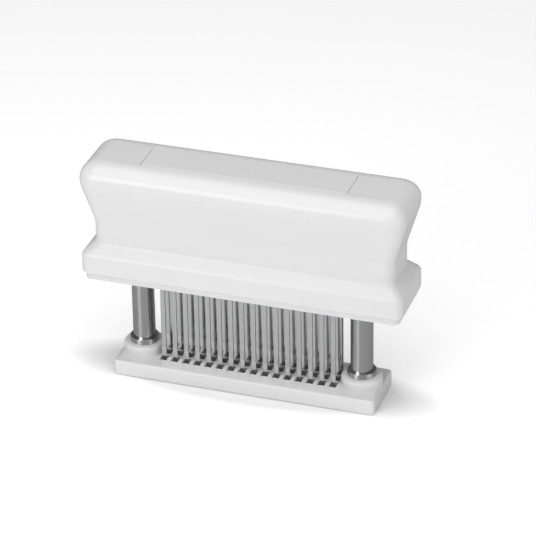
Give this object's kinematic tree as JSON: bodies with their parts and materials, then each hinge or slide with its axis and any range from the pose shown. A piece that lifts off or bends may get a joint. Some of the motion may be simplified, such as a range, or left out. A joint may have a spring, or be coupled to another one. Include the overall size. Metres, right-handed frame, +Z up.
{
  "type": "blade meat tenderizer",
  "caption": "Hand-pressed meat tenderizer: a sprung white plastic handle slides down two steel columns and pushes rows of thin blades through a slotted base plate.",
  "frame": {"origin": "centre of the base plate's underside, where the tool stands", "axes": "+X along the handle to the right, +Y to the back, +Z up along the columns"},
  "size_m": [0.1468, 0.0362, 0.1043],
  "materials": {
    "white_plastic": "semi-gloss moulded",
    "polished_steel": "polished stainless",
    "blade_steel": "satin stainless",
    "spring_steel": "drawn wire",
    "fastener_steel": "plain stainless",
    "bearing_plastic": "moulded acetal"
  },
  "bodies": {
    "base": {"base_plate": "white_plastic", "column_left": "polished_steel", "column_right": "polished_steel", "column_screws": "fastener_steel", "column_washers": "fastener_steel", "stop_ring_left": "fastener_steel", "stop_ring_right": "fastener_steel", "spring_left": "spring_steel", "spring_right": "spring_steel"},
    "handle": {"handle_shell": "white_plastic", "top_cover": "white_plastic", "bottom_cover": "white_plastic", "guide_bush_left": "bearing_plastic", "guide_bush_right": "bearing_plastic", "spring_seat_left": "bearing_plastic", "spring_seat_right": "bearing_plastic", "cover_screws": "fastener_steel", "blade_carrier": "bearing_plastic", "carrier_cap": "bearing_plastic", "carrier_screws": "fastener_steel", "blade_pins": "blade_steel", "blades_front": "blade_steel", "blades_middle": "blade_steel", "blades_rear": "blade_steel"}
  },
  "joints": [
    {"name": "handle_press", "type": "slide", "parent": "base", "child": "handle", "axis": [0, 0, -1], "range_m": [0, 0.031], "stiffness_N_per_m": 1520, "springref_m": -0.01, "deforming": ["spring_left", "spring_right"]}
  ]
}
